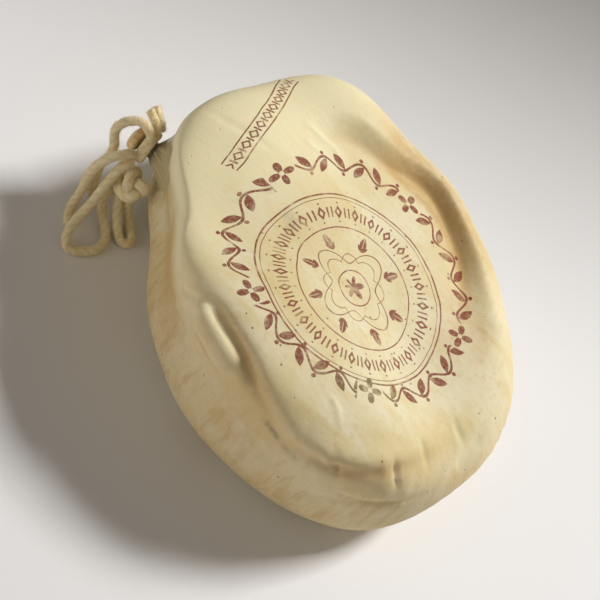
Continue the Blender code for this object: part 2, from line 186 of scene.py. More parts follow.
# Marks on the casing: the attribute they go to, points in millimetres, half width and strength. Warm brown
# marks are painted shade, pale cream ones painted highlights and whitish streaks, grey ones stains
MARKS = [
    # Painted shade along the fold's groove
    ("tan_and_shade", [(-32, -63, 60), (-20, -69, 63), (-7, -74, 63), (5, -78, 60), (16, -79, 57)], 3.6, 0.6),
    # Along the back lip: its warm tone, with painted shade on its inner slope
    (
        "tan_and_shade", [(-38, 52, 71), (-26, 54, 68), (-13, 54, 66), (1, 53, 65), (15, 50, 64), (27, 44, 63),
                (42, 33, 62)], 9.0, 0.8,
    ),
    # Painted shade on the face beside the lip at the right
    ("tan_and_shade", [(30, 27, 60), (38, 15, 60), (45, 2, 59), (50, -8, 59)], 8.0, 0.4),
    # Painted shade along the crease under the front rim
    (
        "tan_and_shade", [(21, -80, 55), (30, -78, 54), (42, -75, 55), (49, -71, 56), (56, -64, 57), (63, -54, 58),
                (68, -40, 57)], 3.4, 0.7,
    ),
    # Painted shade on the face beside the lip at the right
    ("tan_and_shade", [(46, 24, 62), (54, 12, 61), (60, 0, 60)], 7.0, 0.4),
    # Painted shade at the foot of the lip
    ("tan_and_shade", [(-28, 42, 69), (-16, 44, 65), (1, 46, 63), (15, 43, 63), (27, 36, 62), (38, 28, 61)], 3.4, 1.0),
    # Painted highlight along the fold's ridge
    ("powder_and_highlight", [(-33, -64, 57), (-27, -67, 58), (-21, -70, 59), (-13, -73, 60), (-5, -77, 58)], 3.0, 1.0),
    ("stain", [(14, -80, 53), (20, -80, 52), (24, -80, 50)], 1.4, 1.0),
    ("stain", [(24, -80, 50), (30, -80, 49), (36, -79, 48)], 1.3, 0.5),
    ("stain", [(35, -78, 50), (44, -75, 53), (51, -71, 55)], 3.0, 0.35),
    ("stain", [(-47, -8, 62), (-42, -9, 62)], 2.6, 0.55),
    ("stain", [(-36, -9, 62), (-29, -13, 63), (-26, -16, 63)], 2.4, 0.5),
    # Whitish streaks on the right wall
    ("powder_and_highlight", [(76, -30, 49), (78, -18, 50), (78, -4, 50)], 4.0, 0.8),
    # Painted glints on the fine wrinkles of the face
    ("powder_and_highlight", [(-50, 18, 68), (-42, 19, 67), (-33, 18, 66)], 1.2, 0.8),
    ("powder_and_highlight", [(-54, 24, 69), (-47, 25, 68), (-34, 25, 67)], 1.0, 0.8),
    # Whitish streaks on the front wall
    ("powder_and_highlight", [(66, -58, 34), (74, -48, 34), (79, -38, 36)], 2.4, 0.6),
]


def smooth_step(x):
    x = np.clip(x, 0.0, 1.0)
    return x * x * (3 - 2 * x)


def bump_round(angle, at_degrees, width_degrees, power=2):
    """A bell of height 1 at one angle round the loaf, flatter on top for a higher power."""
    away = (angle - math.radians(at_degrees) + math.pi) % TAU - math.pi
    return np.exp(-(np.abs(away / math.radians(width_degrees)) ** power))


def ring_through(values, angle):
    """The smoothest periodic curve through values given at equal angles: their Fourier series."""
    terms = np.fft.rfft(values) / len(values)
    total = np.full(np.shape(angle), terms[0].real)
    for k in range(1, len(terms)):
        weight = 1.0 if 2 * k == len(values) else 2.0
        total = total + weight * (terms[k].real * np.cos(k * angle) - terms[k].imag * np.sin(k * angle))
    return total


def waves(points, lengths, seed):
    """Unevenness of about -1 to 1: plane waves of these lengths in millimetres, in seeded directions."""
    draw = np.random.default_rng(seed)
    total = np.zeros(points.shape[:-1])
    for length in lengths:
        way = draw.normal(size=3)
        way /= np.linalg.norm(way)
        total += np.sin(points @ way * TAU / (length * MM) + draw.uniform(0, TAU))
    return total / math.sqrt(len(lengths))


def dish(x, y, radius, angle, plan, settings):
    """How far the face sinks inside the lip: a tilted floor, with a slope up to the rim all round."""
    towards = x * math.cos(math.radians(55)) + y * math.sin(math.radians(55))
    depth = settings.dish_depth + DISH_TILT * np.tanh(towards / DISH_TILT_LENGTH)
    lip = LIP + 11 * MM * bump_round(angle, 135, 30)
    slope = 8 * MM + 11 * MM * bump_round(angle, 270, 60) + 12 * MM * bump_round(angle, 180, 40)
    slope = slope + 26 * MM * bump_round(angle, 350, 40)
    return depth * smooth_step((plan - lip - radius) / slope)


def pleat(angle, along):
    """Depth of the gathered pleats, from 0 on a crest to 1 in a crease, round the neck's axis."""
    return np.abs(np.sin(angle * 7 + 0.5 * np.sin(angle * 3) + 0.8 * along)) ** 0.7


def near_path(points, path, half_width, power=2, fade=(0.25, 0.35), least=0.2):
    """A bell across a broken line, which fades to its least share of height over both of its ends."""
    nearest = np.full(points.shape[:-1], 1.0)
    share = np.zeros(points.shape[:-1])
    for index, (start, end) in enumerate(zip(path, path[1:])):
        along = np.clip(((points - start) @ (end - start)) / ((end - start) @ (end - start)), 0, 1)
        gap = np.linalg.norm(points - start - along[..., None] * (end - start), axis=-1)
        share = np.where(gap < nearest, (index + along) / (len(path) - 1), share)
        nearest = np.minimum(nearest, gap)
    ends = smooth_step(share / fade[0]) * smooth_step((1 - share) / fade[1])
    return np.exp(-((nearest / half_width) ** power)) * (least + (1 - least) * ends)


def fold(points):
    """Height of the pressed fold, a groove with a ridge outside it, and of the rim along the front."""
    ridge = RIDGE[0] * near_path(points, RIDGE_PATH, RIDGE[1], 4)
    rim = RIM[0] * near_path(points, RIM_PATH, RIM[1])
    return ridge + rim - GROOVE[0] * near_path(points, GROOVE_PATH, GROOVE[1])


def loaf(angle, step, settings, lifted=True):
    """Points of the loaf's skin, at an angle round and a step from 0 on the face to 2 on the base.

    A squared half oval down to the widest ring at step 1, a rounder one under it down to step 1.5, and a
    flat base. Over them go the dish, the fold and slow waves, and the neck end is lifted.
    """
    plan = ring_through(PLAN_RADII, angle)
    # Squarer at the front left, rounder at the neck and on the right
    power = 4.5 + 5.0 * bump_round(angle, 234, 70, 4)
    power = power - 0.5 * bump_round(angle, 165, 25) - 1.3 * bump_round(angle, 345, 35)
    over = np.clip(step, 0, 1) * math.pi / 2
    upper_radius = plan * np.sin(over) ** (2 / power)
    x, y = upper_radius * np.cos(angle), upper_radius * np.sin(angle)
    sag = FACE_SAG_TO_NECK * bump_round(angle, 202, 38) * smooth_step((upper_radius / plan - 0.05) / 1.15)
    face = FACE_HEIGHT - FACE_FALL * x - sag
    upper_height = WIDEST_HEIGHT + (face - WIDEST_HEIGHT) * np.clip(np.cos(over), 0, 1) ** (2 / power)
    upper_height = upper_height - dish(x, y, upper_radius, angle, plan, settings)
    # The raised corner of the lip at the back left, and the dip beside it
    corner = 5.0 * MM * bump_round(angle, 133, 19) - 2.5 * MM * bump_round(angle, 104, 15)
    outer = smooth_step((upper_radius / plan - 0.35) / 0.45)
    outer = outer * smooth_step((upper_height - WIDEST_HEIGHT) / (20 * MM))
    upper_height = upper_height + corner * outer
    under = np.clip((step - 1) * 2, 0, 1) * math.pi / 2
    foot = plan - BASE_INSET
    belly_radius = foot + BASE_INSET * np.clip(np.cos(under), 0, 1) ** ROUNDING_BELOW
    belly_height = WIDEST_HEIGHT * (1 - np.sin(under) ** ROUNDING_BELOW)
    base_radius = foot * np.clip(2 * (2 - step), 0, 1)
    radius = np.where(step <= 1, upper_radius, np.where(step <= 1.5, belly_radius, base_radius))
    height = np.where(step <= 1, upper_height, np.where(step <= 1.5, belly_height, 0.0))
    points = np.stack([radius * np.cos(angle), radius * np.sin(angle), height], axis=-1)
    outward = np.stack([np.cos(angle) * np.sin(over), np.sin(angle) * np.sin(over), np.cos(over)], axis=-1)
    free = smooth_step(height / (0.6 * WIDEST_HEIGHT))
    rise = (fold(points) + SWELL_HEIGHT * waves(points, SWELL_LENGTHS, 7)) * free
    points = points + outward * rise[..., None]
    lift = NECK_END_LIFT * sag * smooth_step((points[..., 2] - LIFT_FROM) / LIFT_SPREAD)
    return points + lift[..., None] * NECK_END_LEAN * lifted


def even_steps(count, settings):
    """Steps from the middle of the face to the middle of the base at equal distances along the skin."""
    fine = np.linspace(0, 2, 4001)
    line = loaf(np.full(fine.shape, 0.3), fine, settings)
    run = lengths_along(line)
    return np.interp(np.linspace(0, run[-1], count), run, fine)


def lengths_along(line):
    """Length of a line from its start to each of its points."""
    return np.concatenate([[0], np.cumsum(np.linalg.norm(np.diff(line, axis=0), axis=1))])


def normals_of(grid):
    """Unit normals of a grid of rings, from the differences between its neighbours."""
    down = np.gradient(grid, axis=0)
    along = np.roll(grid, -1, axis=1) - np.roll(grid, 1, axis=1)
    normal = np.cross(down, along)
    return normal / np.maximum(np.linalg.norm(normal, axis=-1, keepdims=True), 1e-12)


def ringed_mesh(name, first, rings, last, uv=None):
    """A closed mesh of rings of points between two poles, with quads between rings and fans at the ends."""
    rows, across = rings.shape[:2]
    points = np.vstack([np.reshape(first, (1, 3)), rings.reshape(-1, 3), np.reshape(last, (1, 3))])
    here = np.arange(across)
    after = (here + 1) % across
    top = 1 + across * np.arange(rows - 1)[:, None]
    low = top + across
    quads = np.stack([top + here, low + here, low + after, top + after], axis=-1).reshape(-1, 4)
    end = 1 + (rows - 1) * across
    start_fan = np.stack([here * 0, 1 + here, 1 + after], axis=-1)
    end_fan = np.stack([end + here, here * 0 + end + across, end + after], axis=-1)
    corners = np.concatenate([start_fan.ravel(), quads.ravel(), end_fan.ravel()])
    sizes = np.concatenate([np.full(across, 3), np.full(len(quads), 4), np.full(across, 3)])
    mesh = bpy.data.meshes.new(name)
    mesh.vertices.add(len(points))
    mesh.vertices.foreach_set("co", points.astype(np.float32).ravel())
    mesh.loops.add(len(corners))
    mesh.loops.foreach_set("vertex_index", corners.astype(np.int32))
    mesh.polygons.add(len(sizes))
    mesh.polygons.foreach_set("loop_start", (np.cumsum(sizes) - sizes).astype(np.int32))
    mesh.update(calc_edges=True)
    mesh.shade_smooth()
    if uv is not None:
        a, b = here, here + 1
        fan = np.stack([uv[0, a], uv[1, a], uv[1, b]], axis=1)
        middle = np.stack([uv[1:-2, a], uv[2:-1, a], uv[2:-1, b], uv[1:-2, b]], axis=2)
        tail = np.stack([uv[-2, a], uv[-1, a], uv[-2, b]], axis=1)
        flat = np.concatenate([part.reshape(-1, 2) for part in (fan, middle, tail)])
        layer = mesh.uv_layers.new(name="OFBake")
        layer.uv.foreach_set("vector", flat.astype(np.float32).ravel())
    return mesh


def face_outward(mesh):
    """Turns the faces round if the mesh encloses a negative volume."""
    mesh.calc_loop_triangles()
    points = np.zeros(len(mesh.vertices) * 3)
    mesh.vertices.foreach_get("co", points)
    corners = np.zeros(len(mesh.loop_triangles) * 3, int)
    mesh.loop_triangles.foreach_get("vertices", corners)
    if np.linalg.det(points.reshape(-1, 3)[corners.reshape(-1, 3)]).sum() < 0:
        mesh.flip_normals()


def add_piece(name, mesh, finish, replaced):
    """Links a piece to the scene, gives it its finish and lets it stand for its solids."""
    face_outward(mesh)
    made = bpy.data.objects.new(name, mesh)
    bpy.context.scene.collection.objects.link(made)
    mesh.materials.append(finish)
    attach(made, "root")
    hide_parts(*replaced)
    return made


def point_value(mesh, name, values, pole=0.0):
    """Stores a value for each point of the rings, and one for the two poles."""
    values = np.concatenate([[pole], values.ravel(), [pole]])
    mesh.attributes.new(name, "FLOAT", "POINT").data.foreach_set("value", values.astype(np.float32))


# --- Shader trees, written as arithmetic on sockets


def set_inputs(node, **values):
    """Sets constants on a node's inputs, whose names are given with _ for a space."""
    for name, value in values.items():
        node.inputs[name.replace("_", " ")].default_value = value


def math_step(operation):
    """A method that adds one math node to a field's tree."""
    return lambda field, *others: field.apply(operation, *others)


class Field:
    """A socket of a shader tree that takes arithmetic like a number and adds a math node for each step."""

    def __init__(self, tree, socket):
        self.tree = tree
        self.socket = socket

    def apply(self, operation, *others):
        node = self.tree.nodes.new("ShaderNodeMath")
        node.operation = operation
        for slot, value in zip(node.inputs, (self, *others)):
            if isinstance(value, Field):
                self.tree.links.new(value.socket, slot)
            else:
                slot.default_value = value
        return Field(self.tree, node.outputs[0])

    __add__ = __radd__ = math_step("ADD")
    __sub__ = math_step("SUBTRACT")
    __mul__ = __rmul__ = math_step("MULTIPLY")
    __truediv__ = math_step("DIVIDE")
    __abs__ = math_step("ABSOLUTE")
    most = math_step("MAXIMUM")

    def __rsub__(self, other):
        return (self * -1.0) + other

    def ease(self, low, high):
        """0 under low and 1 over high, with a smooth step between; turned round if low is over high."""
        turned = low > high
        low, high = min(low, high), max(low, high)
        node = self.tree.nodes.new("ShaderNodeMapRange")
        node.interpolation_type = "SMOOTHSTEP"
        self.tree.links.new(self.socket, node.inputs["Value"])
        set_inputs(node, From_Min=low, From_Max=high, To_Min=float(turned), To_Max=float(not turned))
        return Field(self.tree, node.outputs["Result"])

    def line(self, half, soft=0.12):
        """1 where this value is within half of zero."""
        return abs(self).ease(half + soft, half - soft)

    def wrap(self, period):
        """This value's distance to the middle of its own cell, for cells of this period."""
        return self - (self / period + 0.5).apply("FLOOR") * period


def attribute(tree, name, output="Fac"):
    node = tree.nodes.new("ShaderNodeAttribute")
    node.attribute_name = name
    return Field(tree, node.outputs[output])


def split(tree, socket, scale=1.0):
    """The three parts of a vector or a colour, each times a scale."""
    node = tree.nodes.new("ShaderNodeSeparateXYZ")
    tree.links.new(socket, node.inputs[0])
    return [Field(tree, output) * scale for output in node.outputs]


def noise(tree, vector, scale, detail=2.0, rough=0.5, stretch=None, warp=0.0):
    """A noise texture's value on these coordinates, which are first scaled by axis if asked."""
    if stretch is not None:
        mapping = tree.nodes.new("ShaderNodeMapping")
        set_inputs(mapping, Scale=stretch)
        tree.links.new(vector, mapping.inputs["Vector"])
        vector = mapping.outputs["Vector"]
    node = tree.nodes.new("ShaderNodeTexNoise")
    set_inputs(node, Scale=scale, Detail=detail, Roughness=rough, Distortion=warp)
    tree.links.new(vector, node.inputs["Vector"])
    return Field(tree, node.outputs["Fac"])


def mix(tree, amount, first, second):
    """The colour between two, each a socket or an RGB triple."""
    node = tree.nodes.new("ShaderNodeMix")
    node.data_type = "RGBA"
    for slot, value in (("Factor_Float", amount), ("A_Color", first), ("B_Color", second)):
        target = next(s for s in node.inputs if s.identifier == slot)
        if isinstance(value, Field):
            tree.links.new(value.socket, target)
        elif isinstance(value, bpy.types.NodeSocket):
            tree.links.new(value, target)
        elif isinstance(value, (tuple, list)):
            target.default_value = (*value, 1.0)
        else:
            target.default_value = value
    return next(s for s in node.outputs if s.identifier == "Result_Color")


def srgb(red, green, blue):
    """Linear colour of a screen colour given from 0 to 255."""
    shares = [c / 255 for c in (red, green, blue)]
    return tuple(c / 12.92 if c <= 0.04045 else ((c + 0.055) / 1.055) ** 2.4 for c in shares)


def new_group(name, inputs, outputs):
    """An empty shader node group with these sockets, and its input and output nodes."""
    tree = bpy.data.node_groups.new(name, "ShaderNodeTree")
    for label, kind in inputs:
        tree.interface.new_socket(label, in_out="INPUT", socket_type=kind)
    for label, kind in outputs:
        tree.interface.new_socket(label, in_out="OUTPUT", socket_type=kind)
    return tree, tree.nodes.new("NodeGroupInput"), tree.nodes.new("NodeGroupOutput")


def use_group(tree, group, vector):
    node = tree.nodes.new("ShaderNodeGroup")
    node.node_tree = group
    tree.links.new(vector, node.inputs[0])
    return node


def new_material(name, roughness):
    """A material with its Principled shader and Object coordinates."""
    made = bpy.data.materials.new(name)
    made.use_nodes = True
    tree = made.node_tree
    shader = tree.nodes["Principled BSDF"]
    set_inputs(shader, Roughness=roughness)
    place = tree.nodes.new("ShaderNodeTexCoord").outputs["Object"]
    return made, tree, shader, place


def add_bump(tree, shader, height, strength, distance):
    node = tree.nodes.new("ShaderNodeBump")
    set_inputs(node, Strength=strength, Distance=distance)
    tree.links.new(height.socket, node.inputs["Height"])
    tree.links.new(node.outputs["Normal"], shader.inputs["Normal"])


def stamp_group():
    """The printed stamp on the face, as an ink mask from 0 to 1, on coordinates in metres seen from above."""
    vector, ink_mask = ("Vector", "NodeSocketVector"), ("Ink", "NodeSocketFloat")
    tree, given, result = new_group("StampInk", [vector], [ink_mask])
    shift = noise(tree, given.outputs[0], 45.0, 2.0)
    x, y, _ = split(tree, given.outputs[0], IN_MM)
    x = x + (shift - 0.5) * 2.6
    y = y + (shift - 0.5) * 2.2

    def length(a, b):
        return (a * a + b * b).apply("SQRT")

    def polar(centre_x, centre_y):
        a, b = x - centre_x, y - centre_y
        return length(a, b), b.apply("ARCTAN2", a)

    def lozenge(p, q, half_p, half_q):
        return (abs(p) / half_p + abs(q) / half_q).ease(1.08, 0.92)

    def leaf(p, q, half_p, half_q):
        """A pointed lens along p."""
        width = (1.0 - (p / half_p) * (p / half_p)) * half_q
        return (abs(q) - width).ease(0.12, -0.12)

    # A scrolling vine with leaves and berries, broken by four-petalled flowers
    vine_radius, vine_waves = 48.5, 18.0
    radius, turn = polar(2.0, -11.0)
    q = radius - vine_radius
    vine = (q - (turn * vine_waves).apply("SINE") * 2.6).line(0.62)
    cell = (turn * vine_radius).wrap(vine_radius * TAU / vine_waves)
    quarter = vine_radius * TAU / (4 * vine_waves)
    low, high = cell - quarter, cell + quarter
    low_leaf = leaf(q * 0.8 - low * 0.6 + 1.5, low * 0.8 + q * 0.6, 3.8, 1.7)
    high_leaf = leaf(q * 0.8 + high * 0.6 - 1.5, high * 0.8 - q * 0.6, 3.8, 1.7)
    berries = length(low, q - 4.2).ease(0.95, 0.7).most(length(high, q + 4.2).ease(0.95, 0.7))
    flower_arc = (turn - 0.42).wrap(TAU / 5.0) * vine_radius
    flower_out = length(flower_arc, q)
    flower_turn = q.apply("ARCTAN2", flower_arc)
    petals = (flower_out - abs((flower_turn * 2.0).apply("COSINE")) * 5.2).ease(0.1, -0.15)
    outer = vine.most(low_leaf).most(high_leaf).most(berries) * abs(flower_arc).ease(5.6, 6.2)
    outer = outer.most(petals * flower_out.ease(0.9, 1.1))

    # Two fine rings round a band of lozenges and bars, with a third ring inside
    radius, turn = polar(3.0, -17.0)
    band_radius, band_cells = 31.8, 26.0
    radius = radius - (turn - 0.4).apply("COSINE") * 1.5
    rings = (radius - 39.6).line(0.34).most((radius - 37.9).line(0.16, 0.1)).most((radius - 25.4).line(0.26))
    q = radius - band_radius
    arc = turn * band_radius
    period = band_radius * TAU / band_cells
    cell, side = arc.wrap(period), (arc + period / 2).wrap(period)
    band = lozenge(cell, q, 1.7, 2.9) * (1.0 - lozenge(cell, q, 0.7, 1.3))
    band = band.most((abs(side) - 0.95).line(0.34) * abs(q).ease(2.3, 2.1))
    band = band.most((abs(q) - 4.0).line(0.3) * abs(cell).ease(0.5, 0.3))

    # A rosette with petals drawn in line, round a small star
    fold_turn = (turn * 4.0).apply("COSINE")
    rosette = (radius - 14.5 - fold_turn * 4.4).line(0.3)
    rosette = rosette.most((radius - 11.2 - abs(fold_turn) * 3.0).line(0.2))
    rosette = rosette.most((radius - 7.2).line(0.26))
    star = (radius - 3.2 - (turn * 6.0).apply("COSINE") * 1.5).ease(0.12, -0.12)
    spray_arc = (turn - TAU / 16.0).wrap(TAU / 8.0) * 20.0
    sprays = leaf(radius - 20.3, spray_arc, 3.6, 1.5) * (1.0 - spray_arc.line(0.12, 0.08))
    out, aside = radius - 19.0, abs(spray_arc)
    sprays = sprays.most(leaf(out * 0.75 + aside * 0.66, (aside - 1.6) * 0.75 - out * 0.66, 2.1, 0.9))

    # A straight border strip across the corner
    slant_x, slant_y, cell_length = -0.19, 0.982, 5.2
    p = (x + 65.5) * slant_x + (y - 15.0) * slant_y
    q = (x + 65.5) * slant_y - (y - 15.0) * slant_x
    cell = p.wrap(cell_length)
    strip = lozenge(cell, q, 2.1, 2.0) * (1.0 - lozenge(cell, q, 1.2, 1.1))
    bars = (p + cell_length / 2).wrap(cell_length).line(0.4) * q.line(1.5)
    strip = strip.most((abs(q) - 2.9).line(0.26)).most(bars) * abs(p).ease(26.0, 25.6)

    ink = outer.most(rings).most(band).most(rosette).most(star).most(sprays).most(strip)
    patches = noise(tree, given.outputs[0], 160.0, 3.0, 0.6).ease(0.28, 0.52)
    grain = noise(tree, given.outputs[0], 900.0, 2.0, 0.6).ease(0.2, 0.55)
    ink = ink * (patches * 0.55 + 0.45) * (grain * 0.35 + 0.65)
    tree.links.new(ink.socket, result.inputs["Ink"])
    return tree


def casing_group():
    """The casing's own colour: cream and straw in streaks and clouds, with pores."""
    tree, given, result = new_group(
        "CasingSkin",
        [("Vector", "NodeSocketVector")],
        [("Color", "NodeSocketColor"), ("Height", "NodeSocketFloat")],
    )
    place = given.outputs[0]
    clouds = noise(tree, place, 28.0, 4.0, 0.55, warp=0.4)
    streaks = noise(tree, place, 60.0, 4.0, 0.6, stretch=(0.5, 2.2, 1.0), warp=0.6)
    fine = noise(tree, place, 420.0, 3.0, 0.6)
    colour = layered(
        tree,
        srgb(240, 229, 192),
        (clouds.ease(0.38, 0.66), (231, 213, 162)),
        (streaks.ease(0.5, 0.72) * 0.55, (226, 203, 142)),
        (streaks.ease(0.42, 0.25) * 0.6, (244, 237, 212)),
        (fine.ease(0.5, 0.75) * 0.4, (218, 192, 130)),
    )
    cells = tree.nodes.new("ShaderNodeTexVoronoi")
    set_inputs(cells, Scale=180.0)
    tree.links.new(place, cells.inputs["Vector"])
    chosen = split(tree, cells.outputs["Color"])[0]
    pore = Field(tree, cells.outputs["Distance"]).ease(0.11, 0.05) * chosen.ease(0.62, 0.7)
    colour = mix(tree, pore * 0.75, colour, srgb(139, 108, 62))
    tree.links.new(colour, result.inputs["Color"])
    height = (streaks * 0.5 + fine * 0.4) - pore * 0.8
    tree.links.new(height.socket, result.inputs["Height"])
    return tree


def spot(tree, place, centre, reach):
    """1 at a point, in millimetres, falling smoothly to 0 at a distance."""
    x, y, z = [axis - middle for axis, middle in zip(split(tree, place, IN_MM), centre)]
    return (x * x + y * y + z * z).apply("SQRT").ease(reach, reach * 0.25)


def layered(tree, colour, *coats):
    """A colour with coats over it, each an amount and a screen colour."""
    for amount, tone in coats:
        colour = mix(tree, amount, colour, srgb(*tone))
    return colour


def casing_material(settings):
    """Waxy film over cheese: the casing's colour, with painted shade in its dips and creases and warm painted
    shade on its steep sides, painted light on ridges and near the neck end, and the stamp in brown ink.
    """
    made, tree, shader, place = new_material("casing_skin", 0.62)
    skin = use_group(tree, casing_group(), place)
    stamp = use_group(tree, stamp_group(), attribute(tree, "print_place", "Vector").socket)
    x, _, z = split(tree, place, IN_MM)
    low = z.ease(58.0, 34.0)
    grazed = noise(tree, place, 150.0, 4.0, 0.62, stretch=(1.4, 1.4, 0.25), warp=0.5)
    colour = layered(
        tree,
        skin.outputs["Color"],
        # Painted warm shade in the skin's dips and creases
        (attribute(tree, "hollow_shade").ease(0.1, 1.0) * 0.5, (204, 168, 106)),
        (low * grazed.ease(0.46, 0.66) * 0.4, (196, 164, 108)),
        (low * grazed.ease(0.46, 0.3) * 0.35, (236, 228, 200)),
    )
    rough = noise(tree, place, 210.0, 3.0, 0.65)
    # Warm brown for painted shade, pale cream for painted highlights and whitish streaks, grey stains, and
    # the film's grey with painted shade in the pleats by the neck
    for kind, tone, amount, ragged in (
        ("tan_and_shade", (196, 152, 90), 0.78, 0.3),
        ("stain", (112, 112, 112), 0.85, 0.5),
        ("powder_and_highlight", (255, 250, 206), 0.95, 0.5),
        ("gather_shade", (168, 154, 116), 0.6, 0.7),
    ):
        mask = attribute(tree, kind) * (rough.ease(0.36, 0.56) * ragged + (1.0 - ragged))
        colour = layered(tree, colour, (mask * amount, tone))
    # Painted warm shade on the steep sides, more towards the neck end
    side_shade_tint = attribute(tree, "side").ease(0.02, 0.6) * (x.ease(-80.0, -40.0) * 0.17 + 0.1)
    # Painted light on the face near the neck end, which slopes away from the key lamp
    neck_end_light = x.ease(-15.0, -70.0) * z.ease(44.0, 60.0)
    colour = layered(tree, colour, (side_shade_tint, (228, 188, 126)), (neck_end_light * 0.9, (255, 243, 200)))
    ink = Field(tree, stamp.outputs["Ink"]) * z.ease(47.0, 52.0)
    green = spot(tree, place, (38.0, -52.0, 64.0), 26.0)
    ink_colour = mix(tree, green * 0.75, tuple(settings.ink_colour), srgb(118, 104, 44))
    colour = mix(tree, ink * 0.93, colour, ink_colour)
    tree.links.new(colour, shader.inputs["Base Color"])
    set_inputs(shader, Subsurface_Weight=0.18, Subsurface_Radius=(1.0, 0.62, 0.28), Subsurface_Scale=3 * MM)
    set_inputs(shader, Specular_IOR_Level=0.22)
    add_bump(tree, shader, Field(tree, skin.outputs["Height"]) + grazed * low * 1.2, 0.45, 0.6 * MM)
    return made


def film_material():
    """The bunched film of the neck: thin and grey-green, with brown painted shade in its folds."""
    made, tree, shader, place = new_material("neck_skin", 0.38)
    streaks = noise(tree, place, 120.0, 4.0, 0.6, stretch=(0.35, 1.4, 1.4))
    clouds = noise(tree, place, 90.0, 3.0)
    x, _, _ = split(tree, place, IN_MM)
    tail_colour = mix(tree, clouds.ease(0.35, 0.65), srgb(250, 222, 168), srgb(226, 188, 128))
    colour = layered(
        tree,
        srgb(168, 158, 124),
        (streaks.ease(0.35, 0.65), (206, 196, 160)),
        (clouds.ease(0.5, 0.7) * 0.5, (140, 136, 104)),
        # Painted shade in the folds
        (attribute(tree, "hollow_shade") * 0.5, (120, 100, 66)),
    )
    colour = mix(tree, x.ease(-93.0, -94.0), colour, tail_colour)
    colour = layered(tree, colour, (x.ease(-86.5, -82.5) * 0.7, (206, 188, 142)))
    tree.links.new(colour, shader.inputs["Base Color"])
    set_inputs(shader, Coat_Weight=0.3, Coat_Roughness=0.25, Subsurface_Weight=0.1, Subsurface_Scale=2 * MM)
    add_bump(tree, shader, streaks, 0.4, 0.4 * MM)
    return made


def cotton_material():
    """Undyed cotton: straw-coloured fibres, with painted shade between the strands."""
    made, tree, shader, place = new_material("twisted_cotton", 0.92)
    fibres = noise(tree, place, 900.0, 3.0, 0.65)
    clouds = noise(tree, place, 120.0, 2.0)
    colour = layered(
        tree,
        srgb(250, 228, 176),
        (fibres.ease(0.35, 0.65), (255, 246, 210)),
        (clouds.ease(0.45, 0.7) * 0.4, (246, 220, 166)),
        # Painted shade between the strands
        (attribute(tree, "hollow_shade") * 0.28, (190, 158, 106)),
    )
    tree.links.new(colour, shader.inputs["Base Color"])
    set_inputs(shader, Sheen_Weight=0.5, Sheen_Roughness=0.5, Subsurface_Weight=0.12, Subsurface_Scale=1 * MM)
    add_bump(tree, shader, fibres, 0.9, 0.5 * MM)
    return made


def finish_named(name, make, *given):
    """The material of this name, made the first time that it is asked for."""
    return bpy.data.materials.get(name) or make(*given)


# --- Settings


class CheeseLoafSettings(PropertyGroup):
    dish_depth: FloatProperty(
        name="Dish Depth", description="How far the middle of the face sinks", default=3.5 * MM, unit="LENGTH"
    )
    crease_height: FloatProperty(
        name="Crease Height", description="Share of the casing's creases shown", default=1.0, subtype="FACTOR"
    )
    rings: IntProperty(name="Rings", description="Rings of points from face to base", default=232)
    segments: IntProperty(name="Segments", description="Points round each ring", default=412)
    ink_colour: FloatVectorProperty(
        name="Ink Colour", description="The stamp's brown", default=srgb(134, 52, 28), size=3, subtype="COLOR"
    )


class CheeseStringSettings(PropertyGroup):
    thickness: FloatProperty(
        name="Thickness", description="Across the string", default=3.4 * MM, unit="LENGTH"
    )
    strands: IntProperty(name="Strands", description="Strands twisted together", default=3)
    fibres: IntProperty(name="Fibres", description="Loose fibres in each millimetre", default=48, min=0)
    lay_length: FloatProperty(
        name="Lay Length", description="Length of one turn of a strand", default=13 * MM, unit="LENGTH"
    )


class CheeseStageSettings(PropertyGroup):
    distance: FloatProperty(
        name="Camera Distance", description="From the camera to the loaf", default=0.8775, unit="LENGTH"
    )
    elevation: FloatProperty(
        name="Elevation", description="Camera above the horizon", default=math.radians(50), unit="ROTATION"
    )
    roll: FloatProperty(
        name="Roll", description="Turn of the picture", default=math.radians(45), unit="ROTATION"
    )
    key_power: FloatProperty(name="Key Power", description="Lamp behind the loaf", default=47.0, unit="POWER")
    fill_power: FloatProperty(name="Fill Power", description="Lamp at near left", default=3.1, unit="POWER")
    sky: FloatProperty(name="Sky", description="Light from all round", default=0.14)


# --- Operators


class CHEESE_OT_camera(Operator):
    """Place the camera above the near side, rolled so that the loaf lies slantwise"""

    bl_idname = "cheese.camera"
    bl_label = "Add Camera"

    def execute(self, context):
        settings = context.scene.cheese_stage
        data = bpy.data.cameras.new("camera")
        data.lens = 135
        data.sensor_width = 36
        data.clip_end = 20
        camera = bpy.data.objects.new("camera", data)
        context.scene.collection.objects.link(camera)
        forward = Vector((0, math.cos(settings.elevation), -math.sin(settings.elevation)))
        right = Vector((1, 0, 0))
        up = right.cross(forward)
        turned_right = right * math.cos(settings.roll) + up * math.sin(settings.roll)
        turned_up = up * math.cos(settings.roll) - right * math.sin(settings.roll)
        axes = Matrix((turned_right, turned_up, -forward)).transposed()
        spot_seen = Vector((-7, -7, 28)) * MM
        camera.matrix_world = Matrix.Translation(spot_seen - forward * settings.distance) @ axes.to_4x4()
        context.scene.camera = camera
        return {"FINISHED"}


